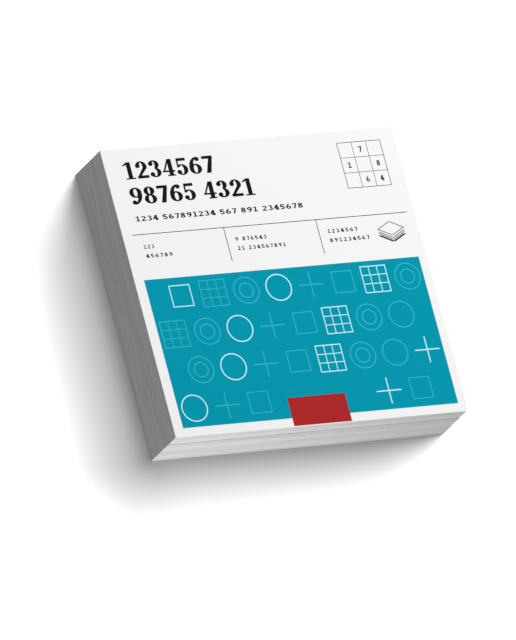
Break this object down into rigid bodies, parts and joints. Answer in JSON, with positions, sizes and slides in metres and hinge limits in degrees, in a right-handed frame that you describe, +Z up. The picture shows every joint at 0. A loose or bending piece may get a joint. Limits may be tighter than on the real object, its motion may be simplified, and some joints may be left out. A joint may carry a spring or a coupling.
{
  "type": "tear-off puzzle pad",
  "caption": "Tear-off pad of puzzle sheets glued along the head, with a card cover that turns over, a first section that opens and first sheets that pull off.",
  "frame": {"origin": "middle of the pad's outline, on the surface that it lies on", "axes": "+X along the lines of print, +Y towards the glued head edge, +Z up through the cover"},
  "size_m": [0.16, 0.15, 0.0294],
  "materials": {
    "cover_card": "coated card, satin",
    "sheet_paper": "uncoated offset paper, cut edges",
    "grey_board": "grey board, matt",
    "padding_glue": "brushed padding glue, semi-matt"
  },
  "bodies": {
    "pad_base": {"back_board": "grey_board", "head_glue_lower": "padding_glue", "level_2_pack_01": "sheet_paper", "level_2_pack_02": "sheet_paper", "level_2_pack_03": "sheet_paper", "level_2_pack_04": "sheet_paper", "level_2_pack_05": "sheet_paper", "level_2_pack_06": "sheet_paper", "level_2_pack_07": "sheet_paper", "level_2_pack_08": "sheet_paper", "level_2_pack_09": "sheet_paper", "level_2_pack_10": "sheet_paper", "level_2_pack_11": "sheet_paper", "level_2_pack_12": "sheet_paper", "level_2_pack_13": "sheet_paper", "level_2_pack_14": "sheet_paper", "level_2_pack_15": "sheet_paper", "level_3_pack_01": "sheet_paper", "level_3_pack_02": "sheet_paper", "level_3_pack_03": "sheet_paper", "level_3_pack_04": "sheet_paper", "level_3_pack_05": "sheet_paper", "level_3_pack_06": "sheet_paper", "level_3_pack_07": "sheet_paper", "level_3_pack_08": "sheet_paper", "level_3_pack_09": "sheet_paper", "level_3_pack_10": "sheet_paper", "level_3_pack_11": "sheet_paper", "level_3_pack_12": "sheet_paper", "level_3_pack_13": "sheet_paper", "level_3_pack_14": "sheet_paper", "level_3_pack_15": "sheet_paper"},
    "level_1_section": {"head_glue_upper": "padding_glue", "level_1_pack_01": "sheet_paper", "level_1_pack_02": "sheet_paper", "level_1_pack_03": "sheet_paper", "level_1_pack_04": "sheet_paper", "level_1_pack_05": "sheet_paper", "level_1_pack_06": "sheet_paper", "level_1_pack_07": "sheet_paper", "level_1_pack_08": "sheet_paper", "level_1_pack_09": "sheet_paper", "level_1_pack_10": "sheet_paper", "level_1_pack_11": "sheet_paper", "level_1_pack_12": "sheet_paper", "level_1_pack_13": "sheet_paper", "level_1_pack_14": "sheet_paper", "level_1_pack_15": "sheet_paper"},
    "front_cover": {"front_cover": "cover_card"},
    "level_1_first_sheet": {"level_1_first_sheet": "sheet_paper"},
    "level_2_first_sheet": {"level_2_first_sheet": "sheet_paper"},
    "level_3_first_sheet": {"level_3_first_sheet": "sheet_paper"}
  },
  "joints": [
    {"name": "cover_hinge", "type": "hinge", "parent": "level_1_section", "child": "front_cover", "pos_m": [0, 0.0751, 0.02905], "axis": [-1, 0, 0], "range_deg": [0, 178]},
    {"name": "level_1_hinge", "type": "hinge", "parent": "pad_base", "child": "level_1_section", "pos_m": [0, 0.0751, 0.01977], "axis": [1, 0, 0], "range_deg": [-180, 0]},
    {"name": "level_1_sheet_pull", "type": "slide", "parent": "level_1_section", "child": "level_1_first_sheet", "axis": [0, -1, 0], "range_m": [0, 0.155]},
    {"name": "level_2_sheet_pull", "type": "slide", "parent": "pad_base", "child": "level_2_first_sheet", "axis": [0, -1, 0], "range_m": [0, 0.155]},
    {"name": "level_3_sheet_pull", "type": "slide", "parent": "pad_base", "child": "level_3_first_sheet", "axis": [0, -1, 0], "range_m": [0, 0.155]}
  ]
}
